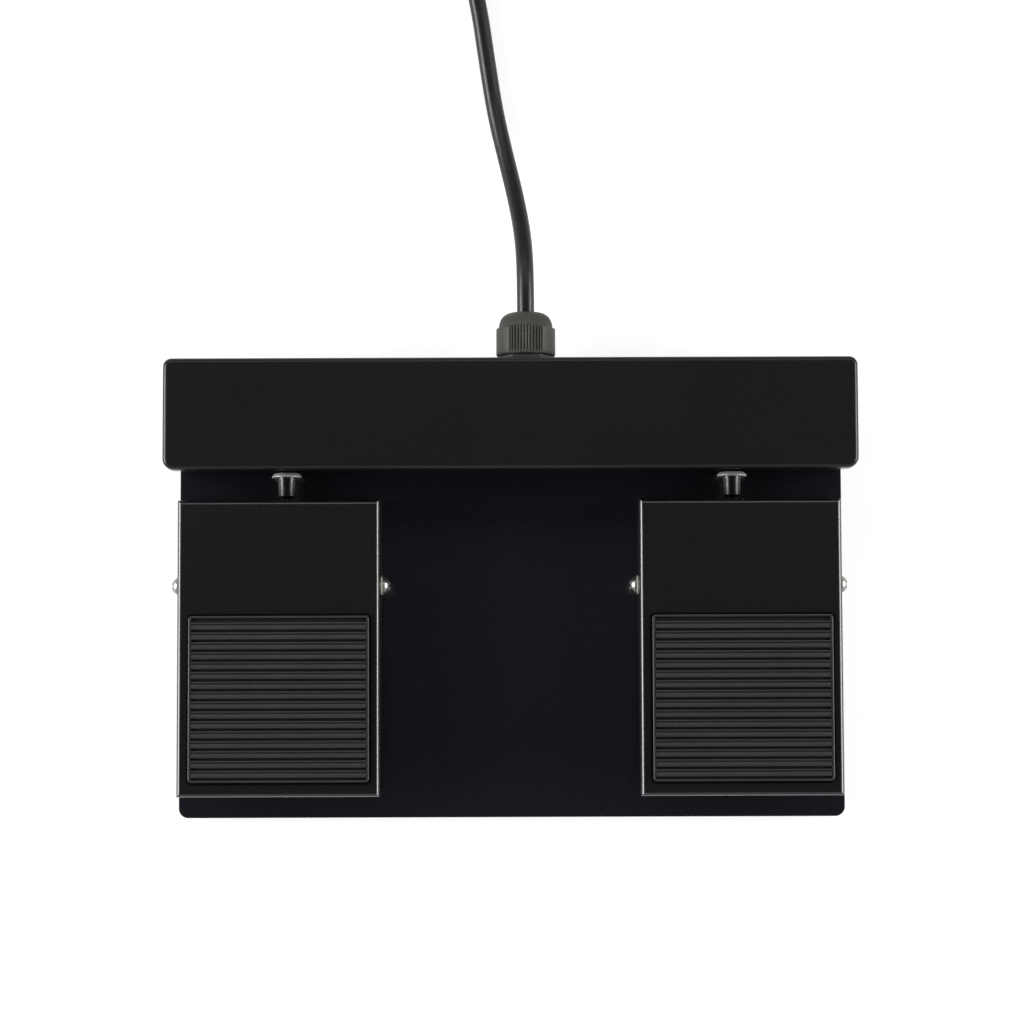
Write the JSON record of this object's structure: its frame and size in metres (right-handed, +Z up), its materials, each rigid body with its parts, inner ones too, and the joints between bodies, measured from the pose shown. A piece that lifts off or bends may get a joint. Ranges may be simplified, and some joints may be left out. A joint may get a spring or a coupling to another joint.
{
  "type": "twin foot pedal",
  "caption": "Low twin foot pedal: two hinged sheet-steel pedals with ribbed mats on a flat base, a rear switch housing and a round cable with a jack plug.",
  "frame": {"origin": "below the middle of the unit without its cable, on the floor under the rubber feet", "axes": "+X to the right, +Y to the rear towards the cable, +Z up"},
  "size_m": [0.2435, 0.3995, 0.039],
  "materials": {
    "black_coat": "fine-texture satin powder coat",
    "plated_steel": "zinc plated",
    "spring_steel": "drawn wire",
    "chrome": "satin nickel",
    "dark_steel": "blackened, satin",
    "mat_rubber": "moulded, satin",
    "stop_rubber": "matte",
    "grey_nylon": "moulded",
    "natural_nylon": "moulded",
    "switch_plastic": "moulded",
    "button_plastic": "moulded",
    "terminal_brass": "tinned brass",
    "cable_jacket": "smooth",
    "tie_plastic": "moulded",
    "wire_jacket": "smooth",
    "plug_plastic": "moulded",
    "contact_metal": "nickel plated"
  },
  "bodies": {
    "base": {"base_plate": "black_coat", "rubber_feet": "stop_rubber", "foot_screws": "plated_steel", "foot_nuts": "plated_steel", "pivot_bracket_left": "plated_steel", "pivot_bracket_right": "plated_steel", "bracket_rivets": "plated_steel", "pivot_screws": "plated_steel", "pivot_washers": "plated_steel", "pivot_bushes": "natural_nylon", "pivot_nuts": "plated_steel", "return_spring_left": "spring_steel", "return_spring_right": "spring_steel", "spring_seats": "natural_nylon", "bump_stops": "stop_rubber", "rest_pads": "stop_rubber", "housing_cover": "black_coat", "front_panel": "black_coat", "cover_posts": "plated_steel", "cover_screws": "plated_steel", "plunger_bush_left": "chrome", "plunger_bush_right": "chrome", "bush_nuts": "plated_steel", "switch_carrier_left": "switch_plastic", "switch_carrier_right": "switch_plastic", "switch_body_left": "switch_plastic", "switch_body_right": "switch_plastic", "carrier_screws": "plated_steel", "switch_screws": "plated_steel", "switch_terminals": "terminal_brass", "gland_body": "grey_nylon", "gland_washer": "stop_rubber", "gland_lock_nut": "grey_nylon", "gland_dome_nut": "grey_nylon", "gland_seal": "stop_rubber", "inner_cable": "cable_jacket", "strain_tie": "tie_plastic", "cord_tube": "cable_jacket", "cord_tail": "cable_jacket", "cord_coil": "cable_jacket", "coil_tie": "tie_plastic", "switch_wires": "wire_jacket", "plug_boot": "plug_plastic", "plug_handle": "plug_plastic", "plug_sleeve": "contact_metal", "plug_insulators": "plug_plastic", "plug_ring": "contact_metal", "plug_tip": "contact_metal"},
    "pedal_left": {"pedal_plate_left": "black_coat", "tread_mat_left": "mat_rubber", "spring_cap_left": "natural_nylon"},
    "plunger_left": {"plunger_left": "dark_steel", "plunger_clip_left": "plated_steel"},
    "button_left": {"switch_button_left": "button_plastic"},
    "pedal_right": {"pedal_plate_right": "black_coat", "tread_mat_right": "mat_rubber", "spring_cap_right": "natural_nylon"},
    "plunger_right": {"plunger_right": "dark_steel", "plunger_clip_right": "plated_steel"},
    "button_right": {"switch_button_right": "button_plastic"}
  },
  "joints": [
    {"name": "pedal_left_hinge", "type": "hinge", "parent": "base", "child": "pedal_left", "pos_m": [-0.07705, -0.0067, 0.016], "axis": [1, 0, 0], "range_deg": [0, 7], "stiffness_Nm_per_rad": 1, "springref_deg": -22.92, "deforming": ["return_spring_left"]},
    {"name": "plunger_left_slide", "type": "slide", "parent": "base", "child": "plunger_left", "axis": [0, 1, 0], "range_m": [0, 0.0012]},
    {"name": "button_left_slide", "type": "slide", "parent": "base", "child": "button_left", "axis": [0, 1, 0], "range_m": [0, 0.0012]},
    {"name": "pedal_right_hinge", "type": "hinge", "parent": "base", "child": "pedal_right", "pos_m": [0.07615, -0.0067, 0.016], "axis": [1, 0, 0], "range_deg": [0, 7], "stiffness_Nm_per_rad": 1, "springref_deg": -22.92, "deforming": ["return_spring_right"]},
    {"name": "plunger_right_slide", "type": "slide", "parent": "base", "child": "plunger_right", "axis": [0, 1, 0], "range_m": [0, 0.0012]},
    {"name": "button_right_slide", "type": "slide", "parent": "base", "child": "button_right", "axis": [0, 1, 0], "range_m": [0, 0.0012]}
  ],
  "couplings": [
    {"joint": "plunger_left_slide", "follows": "pedal_left_hinge", "m_per_rad": 0.0097},
    {"joint": "button_left_slide", "follows": "pedal_left_hinge", "m_per_rad": 0.0097},
    {"joint": "plunger_right_slide", "follows": "pedal_right_hinge", "m_per_rad": 0.0097},
    {"joint": "button_right_slide", "follows": "pedal_right_hinge", "m_per_rad": 0.0097}
  ]
}
